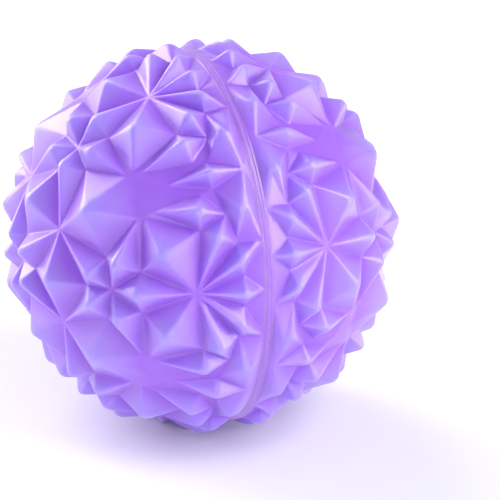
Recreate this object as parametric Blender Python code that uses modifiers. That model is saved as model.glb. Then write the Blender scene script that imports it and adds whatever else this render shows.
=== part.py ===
"""Massage ball: a hollow soft ball of two moulded half shells with a faceted relief.

The mould axis is X: the left half shell is at -X and the right one at +X. The halves meet on
a thin ring at X = 0. An air valve with a pull-out plug sits at the right pole, in the middle
of a five-armed star. The origin is the centre of the ball, +Z is up, and the ball stands on
small flats where its weight presses the lowest tips. Lengths are metres, angles are degrees.
"""

import math

import bmesh
import bpy
from mathutils import Vector

# Radii of the ball, from its centre
PEAK_RADIUS = 0.0450
VALLEY_RADIUS = 0.0414
BAND_RADIUS = 0.0421
CAVITY_RADIUS = 0.0378
REST_DROP = 0.0426

# How the relief lies on the ball: the turns are measured from +Y towards +Z
SECTORS = 5
LEFT_TURN = 67.45
HALF_TWIST = -9.4
BAND_POLAR = 88.4

# The ring between the halves and the gap around every piece
FIT_GAP = 0.0003
RING_WIDTH = 0.0010
RING_LAP_WIDTH = 0.0080
RING_LAP_OUTER = 0.0371
RING_LAP_INNER = 0.0358
PARTING_OFFSET = RING_WIDTH / 2 + FIT_GAP

# The air valve at the right pole, measured along X and out from the X axis
VALVE_FACE = 0.0412
VALVE_FLANGE_RADIUS = 0.0050
VALVE_FLANGE_DEPTH = 0.0016
VALVE_NECK_RADIUS = 0.0034
VALVE_NECK_LENGTH = 0.0105
VALVE_COLLAR_RADIUS = 0.0050
VALVE_COLLAR_DEPTH = 0.0020
VALVE_COLLAR_FACE = 0.0371
PLUG_HEAD_RADIUS = 0.0032
PLUG_HEAD_DEPTH = 0.0010
PLUG_SHANK_RADIUS = 0.0017
PLUG_LENGTH = 0.0090
PLUG_CLEARANCE = 0.0001

# Smoothness of the round pieces
CAVITY_SEGMENTS = 40
CAVITY_RINGS = 20
RING_SEGMENTS = 72
VALVE_SEGMENTS = 24
MERGE_DISTANCE = 0.00001

# Colour and roughness of each material
SHELL_LOOK = ("soft_shell", (0.42, 0.27, 0.62, 1.0), 0.22)
RING_LOOK = ("seam", (0.46, 0.31, 0.66, 1.0), 0.25)
VALVE_LOOK = ("valve", (0.36, 0.22, 0.55, 1.0), 0.45)
PLUG_LOOK = ("plug", (0.80, 0.76, 0.86, 1.0), 0.35)

# The relief in half a sector: polar angle from the half's own pole, then azimuth from the
# sector's first axis (0) to its last (36). Its mirror image fills the sector.
LOW_POINTS = {
    "pole": (0.0, 0.0),
    "pole_corner": (9.6, 36.0),
    "inner_star": (25.6, 0.0),
    "inner_corner": (33.8, 36.0),
    "small_star": (42.4, 36.0),
    "side_corner": (41.7, 21.5),
    "outer_corner": (52.2, 28.1),
    "middle_star": (55.2, 0.0),
    "side_tip": (53.4, 8.4),
    "lobe_tip": (55.4, 8.6),
    "outer_star": (68.5, 36.0),
    "lobe_corner": (71.3, 16.1),
    "petal_tip": (64.4, 0.0),
    "petal_corner": (76.9, 4.1),
    "wing_tip": (57.8, 7.4),
    "wing_corner": (73.0, 5.4),
    "wing_end": (79.4, 12.3),
    "rim_corner": (81.4, 21.4),
    "crown_corner": (82.6, 31.2),
}
# The turning points of the crest beside the parting band, with their radii
RIM_POINTS = {
    "petal_end": (86.8, 0.0, 0.0425),
    "rim_top": (83.4, 12.0, 0.0446),
    "rim_edge": (85.8, 11.0, 0.0440),
}
BAND_AZIMUTHS = {
    "band_a": 0.0,
    "band_b": 4.5,
    "band_c": 10.0,
    "band_d": 15.5,
    "band_e": 21.4,
    "band_f": 26.7,
    "band_g": 31.5,
    "band_h": 36.0,
}

# Four-sided pyramids, by their corners in order. The peak is over the crossed diagonals.
PYRAMIDS = (
    ("inner_star", "inner_corner", "small_star", "side_corner"),
    ("small_star", "side_corner", "side_tip", "outer_corner"),
    ("lobe_tip", "outer_corner", "outer_star", "lobe_corner"),
    ("wing_tip", "lobe_corner", "wing_end", "wing_corner"),
    ("outer_star", "lobe_corner", "wing_end", "rim_corner"),
    ("outer_star", "rim_corner", "band_e", "crown_corner"),
)
# Pyramids that a mirror line cuts along their length: their corners from tail to head
SPLIT_PYRAMIDS = (
    ("pole", "pole_corner", "inner_star"),
    ("inner_star", "side_corner", "side_tip", "middle_star"),
    ("small_star", "outer_corner", "outer_star"),
    ("pole_corner", "inner_star", "inner_corner"),
    ("petal_tip", "petal_corner", "petal_end"),
    ("outer_star", "crown_corner", "band_h"),
)
# The flat valleys, the crest beside the parting band, and the slope down to it
PLAIN_FACES = (
    ("middle_star", "side_tip", "lobe_tip"),
    ("middle_star", "lobe_tip", "wing_tip"),
    ("middle_star", "wing_tip", "petal_tip"),
    ("outer_corner", "side_tip", "lobe_tip"),
    ("lobe_corner", "lobe_tip", "wing_tip"),
    ("petal_tip", "wing_tip", "wing_corner"),
    ("petal_tip", "wing_corner", "petal_corner"),
    ("petal_corner", "wing_corner", "wing_end"),
    ("petal_corner", "petal_end", "rim_top"),
    ("petal_corner", "rim_top", "wing_end"),
    ("wing_end", "rim_top", "rim_corner"),
    ("petal_end", "rim_edge", "rim_top"),
    ("rim_corner", "rim_top", "rim_edge"),
    ("rim_corner", "rim_edge", "band_e"),
    ("petal_end", "band_a", "band_b"),
    ("petal_end", "band_b", "rim_edge"),
    ("rim_edge", "band_b", "band_c"),
    ("rim_edge", "band_c", "band_d"),
    ("rim_edge", "band_d", "band_e"),
    ("crown_corner", "band_e", "band_f"),
    ("crown_corner", "band_f", "band_g"),
    ("crown_corner", "band_g", "band_h"),
)


def ball_point(polar, azimuth, radius):
    """A point of the relief, with the half's pole on +Z and azimuth 0 over +X."""
    p, a = math.radians(polar), math.radians(azimuth)
    return Vector((math.sin(p) * math.cos(a), math.sin(p) * math.sin(a), math.cos(p))) * radius


def relief_points():
    """Every named point of half a sector."""
    points = {name: ball_point(*at, VALLEY_RADIUS) for name, at in LOW_POINTS.items()}
    points |= {name: ball_point(*at) for name, at in RIM_POINTS.items()}
    for name, azimuth in BAND_AZIMUTHS.items():
        points[name] = ball_point(BAND_POLAR, azimuth, BAND_RADIUS)
    return points


def peak_over(tail, side, head, other):
    """The point at peak height over the place where tail to head crosses side to other."""
    line = tail.cross(head).cross(side.cross(other)).normalized()
    if line.dot(side) < 0:
        line.negate()
    return line * PEAK_RADIUS


def mirrored(point, azimuth):
    """The mirror image of a point in the plane through the pole at that azimuth."""
    across = ball_point(90, azimuth + 90, 1)
    return point - 2 * point.dot(across) * across


def half_sector_faces():
    """The faces of half a sector, as lists of corner points."""
    points = relief_points()
    azimuths = {name: at[1] for name, at in LOW_POINTS.items()}
    faces = [[points[name] for name in names] for names in PLAIN_FACES]
    for names in PYRAMIDS:
        base = [points[name] for name in names]
        peak = peak_over(*base)
        faces += [[base[i], base[(i + 1) % 4], peak] for i in range(4)]
    for names in SPLIT_PYRAMIDS:
        base = [points[name] for name in names]
        peak = peak_over(base[0], base[1], base[-1], mirrored(base[1], azimuths[names[0]]))
        faces += [[*pair, peak] for pair in zip(base, base[1:])]
    return faces


def new_object(name, shape, collection):
    """A bmesh as an object of that collection."""
    mesh = bpy.data.meshes.new(name)
    shape.to_mesh(mesh)
    shape.free()
    made = bpy.data.objects.new(name, mesh)
    collection.objects.link(made)
    return made


def as_cutter(made):
    made.hide_render = True
    made.display_type = "WIRE"
    return made


def material(name, colour, roughness):
    made = bpy.data.materials.new(name)
    made.use_nodes = True
    shader = made.node_tree.nodes["Principled BSDF"]
    shader.inputs["Base Color"].default_value = colour
    shader.inputs["Roughness"].default_value = roughness
    shader.inputs["Metallic"].default_value = 0.0
    made.diffuse_color = colour
    return made


def boolean(made, tool, operation):
    modifier = made.modifiers.new(tool.name, "BOOLEAN")
    modifier.operation = operation
    modifier.solver = "EXACT"
    modifier.object = tool


def relief_solid(name, side, turn, collection):
    """A solid half ball with the relief, closed by a flat face beside the parting plane.

    side is -1 for the left half and +1 for the right one, and turn is where the first axis
    of a sector points.
    """
    shape = bmesh.new()
    for sector in range(SECTORS):
        start = math.radians(turn + sector * 360 / SECTORS)
        for mirror in (-1, 1):
            for face in half_sector_faces():
                corners = []
                for point in face:
                    angle = start + mirror * math.atan2(point.y, point.x)
                    spread = math.hypot(point.x, point.y)
                    place = (side * point.z, spread * math.cos(angle), spread * math.sin(angle))
                    corners.append(shape.verts.new(place))
                shape.faces.new(corners)
    bmesh.ops.remove_doubles(shape, verts=shape.verts, dist=MERGE_DISTANCE)
    band = [edge for edge in shape.edges if edge.is_boundary]
    wall = bmesh.ops.extrude_edge_only(shape, edges=band)["geom"]
    for vert in (item for item in wall if isinstance(item, bmesh.types.BMVert)):
        vert.co.x = side * PARTING_OFFSET
    bmesh.ops.holes_fill(shape, edges=[edge for edge in shape.edges if edge.is_boundary])
    bmesh.ops.recalc_face_normals(shape, faces=shape.faces)
    return new_object(name, shape, collection)


def half_shell(name, side, turn, cutters, look, collection):
    made = relief_solid(name, side, turn, collection)
    for cutter in cutters:
        boolean(made, cutter, "DIFFERENCE")
    made.data.materials.append(look)
    return made


def turned(name, profile, segments, look, collection):
    """An outline of (along X, radius) points, turned about the X axis.

    The outline closes on itself unless it starts and ends on the axis.
    """
    outline = bmesh.new()
    verts = [outline.verts.new((x, 0.0, radius)) for x, radius in profile]
    for start, end in zip(verts, verts[1:] + verts[:1]):
        if start.co.z > 0 or end.co.z > 0:
            outline.edges.new((start, end))
    made = new_object(name, outline, collection)
    screw = made.modifiers.new("turn", "SCREW")
    screw.axis = "X"
    screw.steps = segments
    screw.render_steps = segments
    screw.use_merge_vertices = True
    screw.merge_threshold = MERGE_DISTANCE
    screw.use_normal_flip = True
    made.data.materials.append(look)
    return made


def cylinder(name, radius, start, end, collection):
    """A solid cylinder along X from start to end."""
    shape = bmesh.new()
    bmesh.ops.create_cone(
        shape,
        cap_ends=True,
        segments=VALVE_SEGMENTS,
        radius1=radius,
        radius2=radius,
        depth=end - start,
    )
    middle = (start + end) / 2
    for vert in shape.verts:
        vert.co = Vector((vert.co.z + middle, vert.co.x, vert.co.y))
    return new_object(name, shape, collection)


def cavity_cutter(collection):
    """The hollow inside both halves: a faceted ball with its poles on the mould axis."""
    shape = bmesh.new()
    bmesh.ops.create_uvsphere(
        shape, u_segments=CAVITY_SEGMENTS, v_segments=CAVITY_RINGS, radius=CAVITY_RADIUS
    )
    for vert in shape.verts:
        vert.co = Vector((vert.co.z, vert.co.x, vert.co.y))
    return as_cutter(new_object("cavity", shape, collection))


def rest_cutter(collection):
    """The block below the flats that the ball stands on."""
    size = 4 * PEAK_RADIUS
    shape = bmesh.new()
    bmesh.ops.create_cube(shape, size=size)
    bmesh.ops.translate(shape, verts=shape.verts, vec=(0.0, 0.0, -REST_DROP - size / 2))
    return as_cutter(new_object("rest_block", shape, collection))


def valve_cutters(collection):
    """The hole through the right pole and the recess for the valve's flange."""
    outside = PEAK_RADIUS + FIT_GAP
    recess_floor = VALVE_FACE - VALVE_FLANGE_DEPTH - FIT_GAP
    hole = cylinder(
        "valve_hole", VALVE_NECK_RADIUS + FIT_GAP, CAVITY_RADIUS / 2, outside, collection
    )
    recess = cylinder(
        "valve_recess", VALVE_FLANGE_RADIUS + FIT_GAP, recess_floor, outside, collection
    )
    return as_cutter(hole), as_cutter(recess)


def seam_ring(look, collection):
    """A T-section ring: the web fills the parting line and the flange laps both halves."""
    web = RING_WIDTH / 2
    lap = RING_LAP_WIDTH / 2
    profile = (
        (-web, BAND_RADIUS),
        (web, BAND_RADIUS),
        (web, RING_LAP_OUTER),
        (lap, RING_LAP_OUTER),
        (lap, RING_LAP_INNER),
        (-lap, RING_LAP_INNER),
        (-lap, RING_LAP_OUTER),
        (-web, RING_LAP_OUTER),
    )
    return turned("seam_ring", profile, RING_SEGMENTS, look, collection)


def valve_body(look, collection):
    """A soft grommet: a flange outside the wall, a neck through it and a collar inside."""
    flange_back = VALVE_FACE - VALVE_FLANGE_DEPTH
    collar_back = VALVE_COLLAR_FACE - VALVE_COLLAR_DEPTH
    neck_end = VALVE_FACE - VALVE_NECK_LENGTH
    seat_floor = VALVE_FACE - PLUG_HEAD_DEPTH - PLUG_CLEARANCE
    seat = PLUG_HEAD_RADIUS + PLUG_CLEARANCE
    bore = PLUG_SHANK_RADIUS + PLUG_CLEARANCE
    profile = (
        (VALVE_FACE, VALVE_FLANGE_RADIUS),
        (VALVE_FACE, seat),
        (seat_floor, seat),
        (seat_floor, bore),
        (neck_end, bore),
        (neck_end, VALVE_NECK_RADIUS),
        (collar_back, VALVE_COLLAR_RADIUS),
        (VALVE_COLLAR_FACE, VALVE_COLLAR_RADIUS),
        (VALVE_COLLAR_FACE, VALVE_NECK_RADIUS),
        (flange_back, VALVE_NECK_RADIUS),
        (flange_back, VALVE_FLANGE_RADIUS),
    )
    return turned("valve_body", profile, VALVE_SEGMENTS, look, collection)


def valve_plug(look, collection):
    """A stopper: a flat head in the valve's seat and a shank in its bore."""
    head_back = VALVE_FACE - PLUG_HEAD_DEPTH
    tip = VALVE_FACE - PLUG_LENGTH
    profile = (
        (tip, 0.0),
        (tip, PLUG_SHANK_RADIUS),
        (head_back, PLUG_SHANK_RADIUS),
        (head_back, PLUG_HEAD_RADIUS),
        (VALVE_FACE, PLUG_HEAD_RADIUS),
        (VALVE_FACE, 0.0),
    )
    return turned("valve_plug", profile, VALVE_SEGMENTS, look, collection)


def build():
    for old in list(bpy.data.objects):
        bpy.data.objects.remove(old, do_unlink=True)
    parts = bpy.data.collections.new("massage_ball")
    tools = bpy.data.collections.new("cutters")
    bpy.context.scene.collection.children.link(parts)
    bpy.context.scene.collection.children.link(tools)

    shell_look = material(*SHELL_LOOK)
    hollow = (cavity_cutter(tools), rest_cutter(tools))
    valve_holes = valve_cutters(tools)
    right_turn = LEFT_TURN + HALF_TWIST
    half_shell("shell_left", -1, LEFT_TURN, hollow, shell_look, parts)
    half_shell("shell_right", 1, right_turn, hollow + valve_holes, shell_look, parts)
    seam_ring(material(*RING_LOOK), parts)
    valve_body(material(*VALVE_LOOK), parts)
    valve_plug(material(*PLUG_LOOK), parts)


build()
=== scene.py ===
"""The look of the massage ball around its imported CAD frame.

The relief is made again from its own rule at a much finer scale, with rounded ridges and
valleys, and rides where the CAD shells are. Lengths are metres and angles are degrees.
"""

import math

import bmesh
import bpy
import numpy as np
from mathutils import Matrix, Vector, noise
from mathutils.bvhtree import BVHTree


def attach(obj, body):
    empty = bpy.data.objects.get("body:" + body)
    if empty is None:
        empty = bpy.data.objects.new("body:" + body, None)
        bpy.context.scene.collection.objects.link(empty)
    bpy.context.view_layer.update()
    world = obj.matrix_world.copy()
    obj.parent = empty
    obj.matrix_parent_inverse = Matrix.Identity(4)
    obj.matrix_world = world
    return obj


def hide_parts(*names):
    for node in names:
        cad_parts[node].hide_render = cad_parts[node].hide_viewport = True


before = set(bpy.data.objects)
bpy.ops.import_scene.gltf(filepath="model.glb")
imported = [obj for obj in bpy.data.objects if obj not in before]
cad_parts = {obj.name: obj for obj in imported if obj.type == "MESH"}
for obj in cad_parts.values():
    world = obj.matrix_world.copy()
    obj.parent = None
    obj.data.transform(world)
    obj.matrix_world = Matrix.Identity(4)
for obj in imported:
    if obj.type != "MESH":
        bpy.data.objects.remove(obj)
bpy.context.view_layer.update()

# Radii of the ball, from its centre
PEAK_RADIUS = 0.0450
SHARP_PEAK_RADIUS = 0.0455
VALLEY_RADIUS = 0.0414
BAND_RADIUS = 0.0421
CAVITY_RADIUS = 0.0378
REST_DROP = 0.0426

# How the relief lies on the ball: the turns are measured from +Y towards +Z
SECTORS = 5
LEFT_TURN = 67.45
HALF_TWIST = -9.4
BAND_POLAR = 88.4

# The relief in half a sector: polar angle from the half's own pole, then azimuth from the
# sector's first axis (0) to its last (36). Its mirror image fills the sector.
LOW_POINTS = {
    "pole": (0.0, 0.0),
    "pole_corner": (9.6, 36.0),
    "inner_star": (25.6, 0.0),
    "inner_corner": (33.8, 36.0),
    "small_star": (42.4, 36.0),
    "side_corner": (41.7, 21.5),
    "outer_corner": (52.2, 28.1),
    "middle_star": (55.2, 0.0),
    "side_tip": (53.4, 8.4),
    "lobe_tip": (55.4, 8.6),
    "outer_star": (68.5, 36.0),
    "lobe_corner": (71.3, 16.1),
    "petal_tip": (64.4, 0.0),
    "petal_corner": (76.9, 4.1),
    "wing_tip": (57.8, 7.4),
    "wing_corner": (73.0, 5.4),
    "wing_end": (79.4, 12.3),
    "rim_corner": (81.4, 21.4),
    "crown_corner": (82.6, 31.2),
}
# The turning points of the crest beside the parting band, with their radii
RIM_POINTS = {
    "petal_end": (86.8, 0.0, 0.0425),
    "rim_top": (83.4, 12.0, 0.0446),
    "rim_edge": (85.8, 11.0, 0.0440),
}
BAND_AZIMUTHS = {
    "band_a": 0.0,
    "band_b": 4.5,
    "band_c": 10.0,
    "band_d": 15.5,
    "band_e": 21.4,
    "band_f": 26.7,
    "band_g": 31.5,
    "band_h": 36.0,
}
# Four-sided pyramids, by their corners in order. The peak is over the crossed diagonals.
PYRAMIDS = (
    ("inner_star", "inner_corner", "small_star", "side_corner"),
    ("small_star", "side_corner", "side_tip", "outer_corner"),
    ("lobe_tip", "outer_corner", "outer_star", "lobe_corner"),
    ("wing_tip", "lobe_corner", "wing_end", "wing_corner"),
    ("outer_star", "lobe_corner", "wing_end", "rim_corner"),
    ("outer_star", "rim_corner", "band_e", "crown_corner"),
)
# Pyramids that a mirror line cuts along their length: their corners from tail to head
SPLIT_PYRAMIDS = (
    ("pole", "pole_corner", "inner_star"),
    ("inner_star", "side_corner", "side_tip", "middle_star"),
    ("small_star", "outer_corner", "outer_star"),
    ("pole_corner", "inner_star", "inner_corner"),
    ("petal_tip", "petal_corner", "petal_end"),
    ("outer_star", "crown_corner", "band_h"),
)
# The flat valleys, the crest beside the parting band, and the slope down to it
PLAIN_FACES = (
    ("middle_star", "side_tip", "lobe_tip"),
    ("middle_star", "lobe_tip", "wing_tip"),
    ("middle_star", "wing_tip", "petal_tip"),
    ("outer_corner", "side_tip", "lobe_tip"),
    ("lobe_corner", "lobe_tip", "wing_tip"),
    ("petal_tip", "wing_tip", "wing_corner"),
    ("petal_tip", "wing_corner", "petal_corner"),
    ("petal_corner", "wing_corner", "wing_end"),
    ("petal_corner", "petal_end", "rim_top"),
    ("petal_corner", "rim_top", "wing_end"),
    ("wing_end", "rim_top", "rim_corner"),
    ("petal_end", "rim_edge", "rim_top"),
    ("rim_corner", "rim_top", "rim_edge"),
    ("rim_corner", "rim_edge", "band_e"),
    ("petal_end", "band_a", "band_b"),
    ("petal_end", "band_b", "rim_edge"),
    ("rim_edge", "band_b", "band_c"),
    ("rim_edge", "band_c", "band_d"),
    ("rim_edge", "band_d", "band_e"),
    ("crown_corner", "band_e", "band_f"),
    ("crown_corner", "band_f", "band_g"),
    ("crown_corner", "band_g", "band_h"),
)

# The rounding of the soft moulding: how far ridges and valleys are smeared, and how much more
# on the peaks, round the middle star and from a polar angle on beside the parting band
ROUNDING = 0.00024
PEAK_ROUNDING = 0.00080
PEAK_SHARPNESS = 1.5
WORN_ROUNDING = 0.00045
WORN_REACH = 0.0032
BAND_ROUNDING = 0.0005
BAND_ROUNDING_FROM = 85.0
BAND_ROUNDING_SPREAD = 1.5
BAND_REACH = 3
BLUR_PAIRS = 24
BLUR_PLANE = (0.31, 0.27, 0.91)
MISSED_RAY_NUDGE = Vector((3e-6, 2e-6, 1e-6))

# The fine mesh on each facet: how deep its rings of points lie, up to a share of the radius of
# its incircle, and how its edges are divided, with closer steps on a share of each end
RING_DEPTHS = (0.00012, 0.00028, 0.00052, 0.0010, 0.0018)
RING_LIMIT = 0.85
END_STEPS = (0.0003, 0.0008, 0.0016)
END_LIMIT = 0.4
LONGEST_STEP = 0.0017
MERGE_DISTANCE = 0.000001

# The slight waves of a soft moulded skin, and the edge of the flats it rests on
WAVE_HEIGHT = 0.00004
WAVES_PER_METRE = 170
WAVE_FADE = 0.004
FLAT_EDGE = 0.00006

# The parting line: the shells' edges with their flash, and the ring between them
SHELL_EDGE = 0.000406
SHELL_EDGE_BEVEL = 0.00004
SHELL_EDGE_DROP = 0.00002
SHELL_WALL_DEPTH = 0.0015
INSIDE_RINGS = 24
BEAD_PLACE = 0.00066
BEAD_WIDTH = 0.00022
BEAD_HEIGHT = 0.00003
BEAD_STEPS = 14
RING_EDGE = 0.00040
RING_LAP = 0.0040
RING_LAP_OUTER = 0.0371
RING_LAP_INNER = 0.0358
RING_SEGMENTS = 360
CROWN_STEPS = 12
CROWN_DROP = 0.00001
CROWN_FALL = 0.00002

# The air valve at the right pole, measured along X and out from the X axis
VALVE_FACE = 0.0412
VALVE_FLANGE_RADIUS = 0.0050
VALVE_FLANGE_DEPTH = 0.0016
VALVE_NECK_RADIUS = 0.0034
VALVE_NECK_LENGTH = 0.0105
VALVE_COLLAR_RADIUS = 0.0050
VALVE_COLLAR_DEPTH = 0.0020
VALVE_COLLAR_FACE = 0.0371
PLUG_HEAD_RADIUS = 0.0032
PLUG_HEAD_DEPTH = 0.0010
PLUG_SHANK_RADIUS = 0.0017
PLUG_LENGTH = 0.0090
PLUG_CLEARANCE = 0.0001
PLUG_DIMPLE_RADIUS = 0.0018
PLUG_DIMPLE_FLOOR_RADIUS = 0.0013
PLUG_DIMPLE_DEPTH = 0.0005
SEAT_FLARE = 0.0012
FIT_GAP = 0.0003
VALVE_SEGMENTS = 96

# Fillets of the turned pieces
FILLET_STEPS = 5
SMALL_FILLET = 0.0002
MIDDLE_FILLET = 0.0003
LARGE_FILLET = 0.0004
PLUG_RIM_FILLET = 0.00035
PLUG_TIP_FILLET = 0.0007
SEAT_RIM_FILLET = 0.004

# The vinyl's grain: each noise by its scale per metre and its detail, the values that it mostly
# takes, how far it moves the colour and the gloss, and its bumps by their strength and height
CLOUD = (70.0, 3.0)
MOTTLE = (420.0, 4.0)
PEEL = (2600.0, 2.0)
NOISE_SPAN = (0.3, 0.7)
CLOUD_REACH = 0.12
CLOUD_GLOSS = (-0.04, 0.05)
MOTTLE_SPAN = (0.35, 0.65)
MOTTLE_REACH = 0.30
MOTTLE_GLOSS = (-0.02, 0.03)
MOTTLE_BUMP = (0.35, 0.00004)
PEEL_BUMP = (0.25, 0.000012)

# Painted highlight and rubbed dullness on ridges, and painted shade in deeper valleys, by how many
# millimetres the rounding sank or raised them
MILLIMETRES = 1000
SUNK_SPAN = (0.02, 0.14)
RIDGE_HIGHLIGHT_SHARE = 0.15
WEAR_AND_HIGHLIGHT_SPREAD = (0.6, 1.3)
WEAR_DULLNESS = 0.05
PAINTED_VALLEY_SHADE = 0.4

# The vinyl's depth and gloss
SCATTER_SHARES = (0.55, 0.32, 1.0)
VINYL_IOR = 1.5
SHEEN_LEVEL = 0.6
GLOSS = 0.35
GLOSS_ROUGHNESS = 0.09
HAZE = 0.09
HAZE_ROUGHNESS = 0.45

# Colours
PIGMENT = (0.58, 0.56, 0.54, 1.0)
FACE_HEIGHT = 0.4
# From valley to peak: the darker valley violet is painted shade and the paler peak lavender is painted
# light
VALLEY_SHADE_VIOLET = (0.29, 0.098, 0.70, 1.0)
FACE_LAVENDER = (0.32, 0.175, 0.71, 1.0)
PEAK_LIT_LAVENDER = (0.32, 0.235, 0.73, 1.0)
# The pale ridge lavender is a painted highlight along the shell's ridges
RIDGE_HIGHLIGHT_LAVENDER = (0.34, 0.34, 0.76, 1.0)
# The valve's and plug's tones also run darker deeper in towards the centre: painted shade
VALVE_TONES = ((0.22, 0.10, 0.60, 1.0), (0.28, 0.15, 0.66, 1.0), (0.32, 0.20, 0.70, 1.0))
PLUG_TONES = ((0.34, 0.26, 0.60, 1.0), (0.40, 0.32, 0.64, 1.0), (0.44, 0.36, 0.67, 1.0))
# The plug's pale ridge colour is a painted highlight
PLUG_RIDGE_HIGHLIGHT = (0.50, 0.45, 0.70, 1.0)
PAPER_WHITE = (0.90, 0.90, 0.90, 1.0)
PAPER_ROUGHNESS = 0.8
FLOOR_SIZE = 3.0

# The camera, with the direction from the ball towards it
VIEW_FROM = Vector((-0.32619, -0.86990, 0.36997))
VIEW_DISTANCE = 0.652
LENS = 208.7
SENSOR_WIDTH = 36
SHIFT = (0.0999, -0.0298)

# Soft boxes around the ball: the direction towards each, its size at a metre and its radiance
LIGHT_DISTANCE = 3.0
SOFT_BOXES = {
    "back_left": ((-0.53, 0.75, 0.40), 0.72, 3.2),
    "left": ((-0.86, 0.50, 0.08), 0.40, 1.9),
    "back_top": ((-0.18, 0.66, 0.73), 0.55, 2.4),
    "right_top": ((0.48, -0.46, 0.74), 0.60, 3.0),
    "right_front": ((0.69, -0.69, 0.23), 0.55, 3.4),
    "front": ((-0.12, -0.93, 0.40), 0.50, 1.4),
    "front_left": ((-0.63, -0.76, 0.15), 0.50, 1.4),
}
AMBIENT = 0.36
EXPOSURE = 1.71


def ball_point(polar, azimuth, radius):
    """A point of the relief, with the half's pole on +Z and azimuth 0 over +X."""
    p, a = math.radians(polar), math.radians(azimuth)
    return np.array((math.sin(p) * math.cos(a), math.sin(p) * math.sin(a), math.cos(p))) * radius


def relief_points():
    """Every named point of half a sector."""
    points = {name: ball_point(*at, VALLEY_RADIUS) for name, at in LOW_POINTS.items()}
    points |= {name: ball_point(*at) for name, at in RIM_POINTS.items()}
    for name, azimuth in BAND_AZIMUTHS.items():
        points[name] = ball_point(BAND_POLAR, azimuth, BAND_RADIUS)
    return points


def peak_over(tail, side, head, other):
    """The point at peak height over the place where tail to head crosses side to other."""
    line = np.cross(np.cross(tail, head), np.cross(side, other))
    line /= np.linalg.norm(line)
    return line * math.copysign(SHARP_PEAK_RADIUS, line @ side)


def mirrored(point, azimuth):
    """The mirror image of a point in the plane through the pole at that azimuth."""
    across = ball_point(90, azimuth + 90, 1)
    return point - 2 * (point @ across) * across


def half_sector():
    """The triangles of half a sector."""
    points = relief_points()
    azimuths = {name: at[1] for name, at in LOW_POINTS.items()}
    faces = [[points[name] for name in names] for names in PLAIN_FACES]
    for names in PYRAMIDS:
        base = [points[name] for name in names]
        peak = peak_over(*base)
        faces += [[base[i], base[(i + 1) % 4], peak] for i in range(4)]
    for names in SPLIT_PYRAMIDS:
        base = [points[name] for name in names]
        peak = peak_over(base[0], base[1], base[-1], mirrored(base[1], azimuths[names[0]]))
        faces += [[*pair, peak] for pair in zip(base, base[1:])]
    return faces


def sector_copy(points, sector, mirror):
    """Points of half a sector, mirrored or not, in that sector's place about +Z."""
    turn = math.radians(sector * 360 / SECTORS)
    c, s = math.cos(turn), math.sin(turn)
    x, y = points[..., 0], points[..., 1] * mirror
    return np.stack((c * x - s * y, s * x + c * y, points[..., 2]), -1)


def edge_steps(length):
    """Where an edge is divided, as shares of its length: closer near its ends."""
    near = [step for step in END_STEPS if step < END_LIMIT * length]
    reach = near[-1] if near else 0.0
    count = math.ceil((length - 2 * reach) / LONGEST_STEP)
    inner = np.linspace(reach, length - reach, count + 1)
    steps = [0.0] + near[:-1] + list(inner if near else inner[1:-1])
    steps += [length - step for step in near[-2::-1]] + [length]
    return np.array(steps) / length


def fine_facet(corners):
    """Points and triangles of one facet: rings that shrink towards the middle of its incircle."""
    a, b, c = corners
    sides = np.array([np.linalg.norm(c - b), np.linalg.norm(a - c), np.linalg.norm(b - a)])
    centre = (sides[0] * a + sides[1] * b + sides[2] * c) / sides.sum()
    inradius = np.linalg.norm(np.cross(b - a, c - a)) / sides.sum()
    loop = []
    for start, end in ((a, b), (b, c), (c, a)):
        steps = edge_steps(np.linalg.norm(end - start))[:-1]
        loop += [start + (end - start) * step for step in steps]
    loop = np.array(loop)
    depths = [depth for depth in RING_DEPTHS if depth < RING_LIMIT * inradius]
    rings = [loop] + [centre + (loop - centre) * (1 - depth / inradius) for depth in depths]
    count = len(loop)
    triangles = []
    for ring in range(len(rings) - 1):
        for i in range(count):
            p, q = ring * count + i, ring * count + (i + 1) % count
            triangles += [(p, q, q + count), (p, q + count, p + count)]
    last = (len(rings) - 1) * count
    hub = len(rings) * count
    triangles += [(last + i, last + (i + 1) % count, hub) for i in range(count)]
    return np.vstack(rings + [centre[None]]), triangles


def net_tree(faces):
    """The whole flat-sided half and the band beyond it, to measure its radius along any line.

    The band goes on past the parting plane, so that a ray near the edge finds it too.
    """
    faces = np.array(faces)
    band = [ball_point(BAND_POLAR, azimuth, BAND_RADIUS) for azimuth in BAND_AZIMUTHS.values()]
    far = [point * (1, 1, -BAND_REACH) for point in band]
    strips = []
    for i in range(len(band) - 1):
        strips += [[band[i], far[i], far[i + 1]], [band[i], far[i + 1], band[i + 1]]]
    faces = np.concatenate((faces, strips))
    every = np.concatenate(
        [sector_copy(faces, sector, mirror) for sector in range(SECTORS) for mirror in (-1, 1)]
    )
    points = every.reshape(-1, 3)
    return BVHTree.FromPolygons(points.tolist(), np.arange(len(points)).reshape(-1, 3).tolist())


def blur_offsets():
    """Pairs of opposite steps, spread like a bell curve of width 1."""
    turn = math.pi * (3 - math.sqrt(5))
    index = np.arange(BLUR_PAIRS)
    reach = np.sqrt(-2 * np.log(1 - (index + 0.5) / BLUR_PAIRS))
    steps = np.stack((reach * np.cos(index * turn), reach * np.sin(index * turn)), -1)
    return np.concatenate((steps, -steps))


def net_radius(tree, direction):
    """The net's radius that way. A ray that slips between two faces is cast again beside it."""
    hit = tree.ray_cast((0, 0, 0), direction)[0]
    if hit is None:
        hit = tree.ray_cast((0, 0, 0), direction + MISSED_RAY_NUDGE)[0]
    return hit.length


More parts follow.
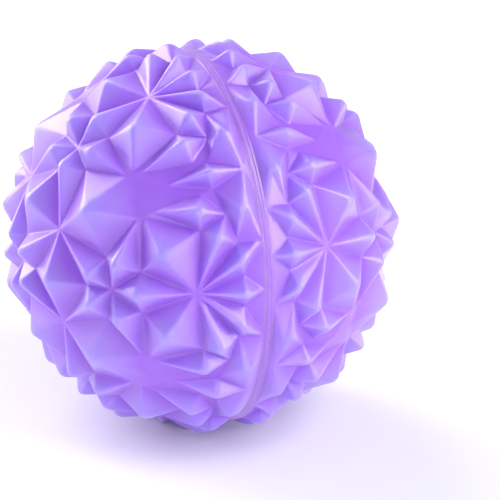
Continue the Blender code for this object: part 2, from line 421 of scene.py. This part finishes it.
def rounding_at(directions, radii):
    """How far the net is smeared there: more on peaks, round the middle star and by the band."""
    worn = ball_point(*LOW_POINTS["middle_star"], 1)
    away = np.linalg.norm(directions - worn, axis=1) * VALLEY_RADIUS / WORN_REACH
    polar = np.degrees(np.arccos(np.clip(directions[:, 2], -1, 1)))
    band = np.clip((polar - BAND_ROUNDING_FROM) / BAND_ROUNDING_SPREAD, 0, 1)
    height = np.clip((radii - VALLEY_RADIUS) / (SHARP_PEAK_RADIUS - VALLEY_RADIUS), 0, 1)
    size = ROUNDING + (PEAK_ROUNDING - ROUNDING) * height**PEAK_SHARPNESS
    size = np.maximum(size, ROUNDING + (WORN_ROUNDING - ROUNDING) * np.exp(-(away**2)))
    return np.maximum(size, ROUNDING + (BAND_ROUNDING - ROUNDING) * band)


def rounded(points, tree):
    """The same points on the rounded net, and how much each one sank there."""
    radii = np.linalg.norm(points, axis=1)
    directions = points / radii[:, None]
    across = np.cross(directions, BLUR_PLANE)
    across /= np.linalg.norm(across, axis=1)[:, None]
    along = np.cross(directions, across)
    reach = (rounding_at(directions, radii) / radii)[:, None]
    total = np.zeros(len(points))
    offsets = blur_offsets()
    for x, y in offsets:
        rays = directions + reach * (x * across + y * along)
        total += [net_radius(tree, Vector(ray)) for ray in rays]
    smooth = total / len(offsets)
    return directions * smooth[:, None], radii - smooth


def relief():
    """The rounded relief of a whole half with its pole on +Z: points, triangles and sinking."""
    faces = half_sector()
    tree = net_tree(faces)
    points, triangles, start = [], [], 0
    for corners in faces:
        facet, links = fine_facet(corners)
        normal = np.cross(corners[1] - corners[0], corners[2] - corners[0])
        if normal @ corners[0] < 0:
            links = [(p, r, q) for p, q, r in links]
        points.append(facet)
        triangles.append(np.array(links) + start)
        start += len(facet)
    points, triangles = np.vstack(points), np.vstack(triangles)
    points, sunk = rounded(points, tree)
    every, links, sinks = [], [], []
    for sector in range(SECTORS):
        for mirror in (-1, 1):
            links.append(triangles[:, ::mirror] + len(points) * len(every))
            every.append(sector_copy(points, sector, mirror))
            sinks.append(sunk)
    return np.vstack(every), np.vstack(links), np.concatenate(sinks)


def waves(points):
    """A smooth wandering between -1 and 1 that is still at the parting line."""
    level = np.array([noise.noise(Vector(point) * WAVES_PER_METRE) for point in points])
    return level * np.clip(np.abs(points[:, 0]) / WAVE_FADE, 0, 1)


def resting(height):
    """Heights with what is below the floor pressed flat, with a slightly rounded edge."""
    above = height + REST_DROP
    return (above + np.sqrt(above**2 + FLAT_EDGE**2)) / 2 - REST_DROP


def relief_mesh(side, turn, points, triangles, sunk):
    """The relief in place, as a bmesh that is open at the parting line."""
    c, s = math.cos(math.radians(turn)), math.sin(math.radians(turn))
    x, y, z = points.T
    place = np.stack((side * z, c * x - s * y, s * x + c * y), -1)
    place *= 1 + WAVE_HEIGHT / PEAK_RADIUS * waves(place)[:, None]
    place[:, 2] = resting(place[:, 2])
    mesh = bpy.data.meshes.new("relief")
    links = triangles if side > 0 else triangles[:, ::-1]
    mesh.from_pydata(place.tolist(), [], links.tolist())
    mesh.attributes.new("sunk", "FLOAT", "POINT").data.foreach_set("value", sunk * MILLIMETRES)
    shape = bmesh.new()
    shape.from_mesh(mesh)
    bpy.data.meshes.remove(mesh)
    bmesh.ops.remove_doubles(shape, verts=shape.verts, dist=MERGE_DISTANCE)
    return shape


def add_ring(shape, x, radius, angles):
    """A ring of vertices round the X axis."""
    return [shape.verts.new((x, radius * math.cos(a), radius * math.sin(a))) for a in angles]


def bead(x):
    """How high the moulding's flash stands at that distance from the parting plane."""
    away = min(abs(x - BEAD_PLACE) / BEAD_WIDTH, 1)
    return BEAD_HEIGHT * (1 + math.cos(math.pi * away)) / 2


def close_shell(shape, side):
    """Adds the flash and the wall at the parting line, and the inside of the half."""
    edges = [edge for edge in shape.edges if edge.is_boundary]
    verts = {vert for edge in edges for vert in edge.verts}
    loop = sorted(verts, key=lambda vert: math.atan2(vert.co.z, vert.co.y))
    angles = [math.atan2(vert.co.z, vert.co.y) for vert in loop]
    outside = BAND_RADIUS * math.sin(math.radians(BAND_POLAR))
    start = BAND_RADIUS * math.cos(math.radians(BAND_POLAR))
    flash = np.linspace(start, SHELL_EDGE + SHELL_EDGE_BEVEL, BEAD_STEPS)[1:]
    profile = [(x, outside + bead(x)) for x in flash]
    profile.append((SHELL_EDGE, outside - SHELL_EDGE_DROP))
    profile.append((SHELL_EDGE, outside - SHELL_WALL_DEPTH))
    low = math.asin(SHELL_EDGE / CAVITY_RADIUS)
    for angle in np.linspace(low, math.pi / 2, INSIDE_RINGS + 1)[:-1]:
        profile.append((CAVITY_RADIUS * math.sin(angle), CAVITY_RADIUS * math.cos(angle)))
    rings = [loop] + [add_ring(shape, side * x, radius, angles) for x, radius in profile]
    hub = shape.verts.new((side * CAVITY_RADIUS, 0, 0))
    count = len(loop)
    for outer, inner in zip(rings, rings[1:]):
        for i in range(count):
            j = (i + 1) % count
            shape.faces.new((outer[i], outer[j], inner[j], inner[i]))
    for i in range(count):
        shape.faces.new((rings[-1][i], rings[-1][(i + 1) % count], hub))
    bmesh.ops.recalc_face_normals(shape, faces=shape.faces)


def rounded_outline(corners):
    """An outline whose corners (x, radius, fillet) are turned into arcs."""
    outline = []
    count = len(corners)
    for i, (x, radius, fillet) in enumerate(corners):
        here = np.array((x, radius))
        if fillet == 0:
            outline.append(here)
            continue
        before = np.array(corners[i - 1][:2]) - here
        after = np.array(corners[(i + 1) % count][:2]) - here
        before /= np.linalg.norm(before)
        after /= np.linalg.norm(after)
        half_angle = math.acos(np.clip(before @ after, -1, 1)) / 2
        start = here + before * fillet / math.tan(half_angle)
        end = here + after * fillet / math.tan(half_angle)
        hub = here + (before + after) / np.linalg.norm(before + after) * fillet / math.sin(half_angle)
        for step in np.linspace(0, 1, FILLET_STEPS + 1):
            arm = (start - hub) * (1 - step) + (end - hub) * step
            outline.append(hub + arm / np.linalg.norm(arm) * fillet)
    return outline


def turned(outline, segments):
    """A closed outline of (x, radius) points turned about X. It may start and end on the axis."""
    shape = bmesh.new()
    angles = [2 * math.pi * i / segments for i in range(segments)]
    rings = []
    for x, radius in outline:
        if radius > 0:
            rings.append(add_ring(shape, x, radius, angles))
        else:
            rings.append([shape.verts.new((x, 0, 0))] * segments)
    for outer, inner in zip(rings, rings[1:] + rings[:1]):
        for i in range(segments):
            j = (i + 1) % segments
            corners = list(dict.fromkeys((outer[i], outer[j], inner[j], inner[i])))
            if len(corners) > 2:
                shape.faces.new(corners)
    bmesh.ops.recalc_face_normals(shape, faces=shape.faces)
    return shape


def ring_outline():
    """The joint's crown between the two halves, its web and the lap inside."""
    crown = []
    for x in np.linspace(-RING_EDGE, RING_EDGE, CROWN_STEPS + 1):
        fall = CROWN_DROP + CROWN_FALL * (x / RING_EDGE) ** 4
        crown.append(np.array((x, BAND_RADIUS - fall)))
    inside = rounded_outline(
        (
            (RING_EDGE, BAND_RADIUS, 0),
            (RING_EDGE, RING_LAP_OUTER, 0),
            (RING_LAP, RING_LAP_OUTER, LARGE_FILLET),
            (RING_LAP, RING_LAP_INNER, LARGE_FILLET),
            (-RING_LAP, RING_LAP_INNER, LARGE_FILLET),
            (-RING_LAP, RING_LAP_OUTER, LARGE_FILLET),
            (-RING_EDGE, RING_LAP_OUTER, 0),
        )
    )
    return crown + inside[1:]


def valve_outline():
    """The grommet: a flange outside the wall, a neck through it and a collar inside."""
    seat = PLUG_HEAD_RADIUS + PLUG_CLEARANCE
    seat_floor = VALVE_FACE - PLUG_HEAD_DEPTH - PLUG_CLEARANCE
    bore = PLUG_SHANK_RADIUS + PLUG_CLEARANCE
    neck_end = VALVE_FACE - VALVE_NECK_LENGTH
    return rounded_outline(
        (
            (VALVE_FACE, VALVE_FLANGE_RADIUS, LARGE_FILLET),
            (VALVE_FACE, seat, SMALL_FILLET),
            (seat_floor, seat, SMALL_FILLET / 2),
            (seat_floor, bore, SMALL_FILLET),
            (neck_end, bore, MIDDLE_FILLET),
            (neck_end, VALVE_NECK_RADIUS, LARGE_FILLET),
            (VALVE_COLLAR_FACE - VALVE_COLLAR_DEPTH, VALVE_COLLAR_RADIUS, LARGE_FILLET),
            (VALVE_COLLAR_FACE, VALVE_COLLAR_RADIUS, LARGE_FILLET),
            (VALVE_COLLAR_FACE, VALVE_NECK_RADIUS, SMALL_FILLET),
            (VALVE_FACE - VALVE_FLANGE_DEPTH, VALVE_NECK_RADIUS, SMALL_FILLET),
            (VALVE_FACE - VALVE_FLANGE_DEPTH, VALVE_FLANGE_RADIUS, MIDDLE_FILLET),
        )
    )


def plug_outline():
    """The stopper: a head with a shallow dimple, and a shank with a round tip."""
    head_back = VALVE_FACE - PLUG_HEAD_DEPTH
    tip = VALVE_FACE - PLUG_LENGTH
    return rounded_outline(
        (
            (tip, 0, 0),
            (tip, PLUG_SHANK_RADIUS, PLUG_TIP_FILLET),
            (head_back, PLUG_SHANK_RADIUS, SMALL_FILLET),
            (head_back, PLUG_HEAD_RADIUS, SMALL_FILLET),
            (VALVE_FACE, PLUG_HEAD_RADIUS, PLUG_RIM_FILLET),
            (VALVE_FACE, PLUG_DIMPLE_RADIUS, MIDDLE_FILLET),
            (VALVE_FACE - PLUG_DIMPLE_DEPTH, PLUG_DIMPLE_FLOOR_RADIUS, MIDDLE_FILLET),
            (VALVE_FACE - PLUG_DIMPLE_DEPTH, 0, 0),
        )
    )


def cut_valve_seat(shell):
    """Cuts the valve's recess and hole through the right pole, with a rounded rim."""
    outside = PEAK_RADIUS + FIT_GAP
    recess = VALVE_FLANGE_RADIUS + FIT_GAP
    floor_at = VALVE_FACE - VALVE_FLANGE_DEPTH - FIT_GAP
    neck = VALVE_NECK_RADIUS + FIT_GAP
    outline = rounded_outline(
        (
            (CAVITY_RADIUS / 2, 0, 0),
            (CAVITY_RADIUS / 2, neck, 0),
            (floor_at, neck, SMALL_FILLET),
            (floor_at, recess, MIDDLE_FILLET),
            (VALVE_FACE, recess, SEAT_RIM_FILLET),
            (outside, recess + SEAT_FLARE, 0),
            (outside, 0, 0),
        )
    )
    cutter = finished("seat_cutter", turned(outline, VALVE_SEGMENTS), None)
    cut = shell.modifiers.new("seat", "BOOLEAN")
    cut.operation = "DIFFERENCE"
    cut.solver = "EXACT"
    cut.object = cutter
    graph = bpy.context.evaluated_depsgraph_get()
    mesh = bpy.data.meshes.new_from_object(shell.evaluated_get(graph))
    shell.modifiers.clear()
    shell.data = mesh
    bpy.data.objects.remove(cutter)


def finished(name, shape, look):
    """A bmesh as a smooth object with that material, or none."""
    mesh = bpy.data.meshes.new(name)
    shape.to_mesh(mesh)
    shape.free()
    mesh.polygons.foreach_set("use_smooth", [True] * len(mesh.polygons))
    if look:
        mesh.materials.append(look)
    made = bpy.data.objects.new(name, mesh)
    bpy.context.scene.collection.objects.link(made)
    return made


def add_node(tree, kind, settings=None, **inputs):
    """A new shader node, with its input sockets set or linked by their names."""
    made = tree.nodes.new("ShaderNode" + kind)
    for name, value in (settings or {}).items():
        setattr(made, name, value)
    for name, value in inputs.items():
        socket = made.inputs[name.replace("_", " ")]
        if isinstance(value, bpy.types.NodeSocket):
            tree.links.new(value, socket)
        else:
            socket.default_value = value
    return made


def spread(tree, value, low, high, to_low=0.0, to_high=1.0):
    """A value moved from one range to another and kept inside it."""
    made = add_node(tree, "MapRange", Value=value)
    made.inputs["From Min"].default_value = low
    made.inputs["From Max"].default_value = high
    made.inputs["To Min"].default_value = to_low
    made.inputs["To Max"].default_value = to_high
    return made.outputs["Result"]


def combined(tree, operation, one, other):
    """Two values combined by that arithmetic, each a linked socket or a number."""
    made = tree.nodes.new("ShaderNodeMath")
    made.operation = operation
    for socket, value in zip(made.inputs, (one, other)):
        if isinstance(value, bpy.types.NodeSocket):
            tree.links.new(value, socket)
        else:
            socket.default_value = value
    return made.outputs["Value"]


def blended(tree, factor, one, other, way="MIX"):
    """Two colours blended, each a linked socket or a colour of its own."""
    made = tree.nodes.new("ShaderNodeMix")
    made.data_type = "RGBA"
    made.blend_type = way
    for index, value in ((0, factor), (6, one), (7, other)):
        if isinstance(value, bpy.types.NodeSocket):
            tree.links.new(value, made.inputs[index])
        else:
            made.inputs[index].default_value = value
    return made.outputs[2]


def grain(tree, place, scale, detail):
    """Noise at those places."""
    made = add_node(tree, "TexNoise", Vector=place, Scale=scale, Detail=detail)
    return made.outputs["Fac"]


def vinyl_colour(tree, place, cloud, mottle, rubbed_and_highlit, crease_shade, tones, worn, span):
    """The tones from valley to peak, darker low down as painted shade and paler high up as painted
    light, paler still on ridges as a painted highlight and deeper in sharp valleys as painted shade.
    """
    reach = add_node(tree, "VectorMath", {"operation": "LENGTH"}, Vector=place).outputs["Value"]
    wander = spread(tree, cloud, *NOISE_SPAN, -CLOUD_REACH, CLOUD_REACH)
    height = combined(tree, "ADD", spread(tree, reach, *span), wander)
    ramp = add_node(tree, "ValToRGB", Fac=height)
    valley, face, peak = tones
    ramp.color_ramp.elements[0].color = valley
    ramp.color_ramp.elements[1].color = peak
    ramp.color_ramp.elements.new(FACE_HEIGHT).color = face
    # Ridges paler towards the pale ridge colour: a painted highlight
    colour = blended(tree, combined(tree, "MULTIPLY", rubbed_and_highlit, RIDGE_HIGHLIGHT_SHARE), ramp.outputs["Color"], worn)
    # Sharp valleys deeper towards the valley violet: painted shade
    colour = blended(tree, combined(tree, "MULTIPLY", crease_shade, PAINTED_VALLEY_SHADE), colour, valley)
    mottled = spread(tree, mottle, *MOTTLE_SPAN, 0.0, MOTTLE_REACH)
    return blended(tree, mottled, colour, PIGMENT, "SOFT_LIGHT")


def vinyl_roughness(tree, roughness, cloud, mottle, rubbed_and_highlit):
    """Gloss that wanders with the noise and is duller where ridges wear."""
    smooth, dull = CLOUD_GLOSS
    sheen = spread(tree, cloud, *NOISE_SPAN, roughness + smooth, roughness + dull)
    sheen = combined(tree, "ADD", sheen, spread(tree, mottle, *NOISE_SPAN, *MOTTLE_GLOSS))
    return combined(tree, "ADD", sheen, combined(tree, "MULTIPLY", rubbed_and_highlit, WEAR_DULLNESS))


def vinyl_surface(tree, mottle, peel):
    """The normal of a slightly uneven skin with a fine peel."""
    uneven = add_node(tree, "Bump", Strength=MOTTLE_BUMP[0], Distance=MOTTLE_BUMP[1], Height=mottle)
    fine = add_node(tree, "Bump", Strength=PEEL_BUMP[0], Distance=PEEL_BUMP[1], Height=peel)
    tree.links.new(uneven.outputs["Normal"], fine.inputs["Normal"])
    return fine.outputs["Normal"]


def vinyl(name, tones, worn, span, roughness, scatter, shift):
    """Soft moulded vinyl: painted shade deeper in its valleys, a painted highlight paler on its
    ridges, and duller gloss where ridges wear.

    The three tones run from valley to peak between the two distances from the centre in span: darker
    deep in as painted shade, paler high up as painted light.
    How deep light scatters is a length, and shift moves the noise, so that pieces differ.
    """
    made = bpy.data.materials.new(name)
    made.use_nodes = True
    tree = made.node_tree
    shader = tree.nodes["Principled BSDF"]
    place = add_node(tree, "TexCoord").outputs["Object"]
    moved = add_node(tree, "Mapping", Vector=place, Location=shift).outputs["Vector"]
    cloud = grain(tree, moved, *CLOUD)
    mottle = grain(tree, moved, *MOTTLE)
    peel = grain(tree, moved, *PEEL)
    sunk = add_node(tree, "Attribute", {"attribute_name": "sunk"}).outputs["Fac"]
    # Ridges: a painted highlight in the colour and rubbed dullness in the gloss
    uneven_wear_and_highlight = spread(tree, mottle, *NOISE_SPAN, *WEAR_AND_HIGHLIGHT_SPREAD)
    rubbed_and_highlit = spread(tree, combined(tree, "MULTIPLY", sunk, uneven_wear_and_highlight), *SUNK_SPAN)
    # Sharp valleys: painted shade in the colour
    crease_shade = spread(tree, sunk, -SUNK_SPAN[0], -SUNK_SPAN[1])
    colour = vinyl_colour(tree, place, cloud, mottle, rubbed_and_highlit, crease_shade, tones, worn, span)
    tree.links.new(colour, shader.inputs["Base Color"])
    tree.links.new(vinyl_roughness(tree, roughness, cloud, mottle, rubbed_and_highlit), shader.inputs["Roughness"])
    tree.links.new(vinyl_surface(tree, mottle, peel), shader.inputs["Normal"])
    shader.inputs["Subsurface Weight"].default_value = 1.0
    shader.inputs["Subsurface Radius"].default_value = SCATTER_SHARES
    shader.inputs["Subsurface Scale"].default_value = scatter
    shader.inputs["IOR"].default_value = VINYL_IOR
    shader.inputs["Specular IOR Level"].default_value = SHEEN_LEVEL
    shader.inputs["Coat Weight"].default_value = GLOSS
    shader.inputs["Coat Roughness"].default_value = GLOSS_ROUGHNESS
    shader.inputs["Sheen Weight"].default_value = HAZE
    shader.inputs["Sheen Roughness"].default_value = HAZE_ROUGHNESS
    return made


LAVENDERS = (VALLEY_SHADE_VIOLET, FACE_LAVENDER, PEAK_LIT_LAVENDER)
SHELL_LOOK = vinyl(
    "shell_vinyl", LAVENDERS, RIDGE_HIGHLIGHT_LAVENDER, span=(VALLEY_RADIUS, PEAK_RADIUS),
    roughness=0.34, scatter=0.004, shift=(0.0, 0.0, 0.0),
)
SEAM_LOOK = vinyl(
    "joint_vinyl", LAVENDERS, RIDGE_HIGHLIGHT_LAVENDER, span=(VALLEY_RADIUS, PEAK_RADIUS),
    roughness=0.36, scatter=0.0003, shift=(0.3, 0.1, 0.2),
)
VALVE_LOOK = vinyl(
    "valve_rubber", VALVE_TONES, RIDGE_HIGHLIGHT_LAVENDER, span=(0.030, 0.042),
    roughness=0.30, scatter=0.002, shift=(0.5, 0.2, 0.7),
)
PLUG_LOOK = vinyl(
    "plug_plastic", PLUG_TONES, PLUG_RIDGE_HIGHLIGHT, span=(0.032, 0.0415),
    roughness=0.34, scatter=0.0015, shift=(0.8, 0.9, 0.1),
)


def fit(piece, node, body):
    """Puts a finished piece in the place of its CAD node."""
    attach(piece, body)
    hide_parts(node)


half = relief()
for name, side, turn in (("left", -1, LEFT_TURN), ("right", 1, LEFT_TURN + HALF_TWIST)):
    shape = relief_mesh(side, turn, *half)
    close_shell(shape, side)
    shell = finished("half_shell_" + name, shape, SHELL_LOOK)
    if side > 0:
        cut_valve_seat(shell)
    fit(shell, "shell_" + name, "ball")
ring = finished("joint_ring", turned(ring_outline(), RING_SEGMENTS), SEAM_LOOK)
fit(ring, "seam_ring", "ball")
grommet = finished("valve_grommet", turned(valve_outline(), VALVE_SEGMENTS), VALVE_LOOK)
fit(grommet, "valve_body", "ball")
stopper = finished("valve_stopper", turned(plug_outline(), VALVE_SEGMENTS), PLUG_LOOK)
fit(stopper, "valve_plug", "plug")

# The floor
floor_mesh = bmesh.new()
bmesh.ops.create_grid(floor_mesh, x_segments=1, y_segments=1, size=FLOOR_SIZE)
floor_data = bpy.data.meshes.new("floor")
floor_mesh.to_mesh(floor_data)
floor = bpy.data.objects.new("floor", floor_data)
floor.location.z = -REST_DROP
bpy.context.scene.collection.objects.link(floor)
paper = bpy.data.materials.new("paper")
paper.use_nodes = True
paper_shader = paper.node_tree.nodes["Principled BSDF"]
paper_shader.inputs["Base Color"].default_value = PAPER_WHITE
paper_shader.inputs["Roughness"].default_value = PAPER_ROUGHNESS
floor_data.materials.append(paper)

# The camera
camera_data = bpy.data.cameras.new("camera")
camera_data.lens = LENS
camera_data.sensor_width = SENSOR_WIDTH
camera_data.shift_x, camera_data.shift_y = SHIFT
camera = bpy.data.objects.new("camera", camera_data)
camera.location = VIEW_FROM.normalized() * VIEW_DISTANCE
camera.rotation_euler = (-VIEW_FROM).to_track_quat("-Z", "Y").to_euler()
bpy.context.scene.collection.objects.link(camera)
bpy.context.scene.camera = camera


def soft_box(name, direction, size, radiance):
    """A square light that faces the ball, of that brightness per area."""
    data = bpy.data.lights.new(name, "AREA")
    data.size = size * LIGHT_DISTANCE
    data.energy = radiance * EXPOSURE * math.pi * data.size**2
    lamp = bpy.data.objects.new(name, data)
    away = Vector(direction).normalized()
    lamp.location = away * LIGHT_DISTANCE
    lamp.rotation_euler = away.to_track_quat("Z", "Y").to_euler()
    lamp.visible_camera = False
    bpy.context.scene.collection.objects.link(lamp)


for name, box in SOFT_BOXES.items():
    soft_box(name, *box)

# The room's soft light, which the camera sees as white
world = bpy.data.worlds.new("studio")
world.use_nodes = True
room = world.node_tree
background = room.nodes["Background"]
background.inputs["Color"].default_value = (1, 1, 1, 1)
seen = add_node(room, "LightPath").outputs["Is Camera Ray"]
room.links.new(spread(room, seen, 0.0, 1.0, AMBIENT, 1.0), background.inputs["Strength"])
bpy.context.scene.world = world
bpy.context.scene.view_settings.view_transform = "Standard"
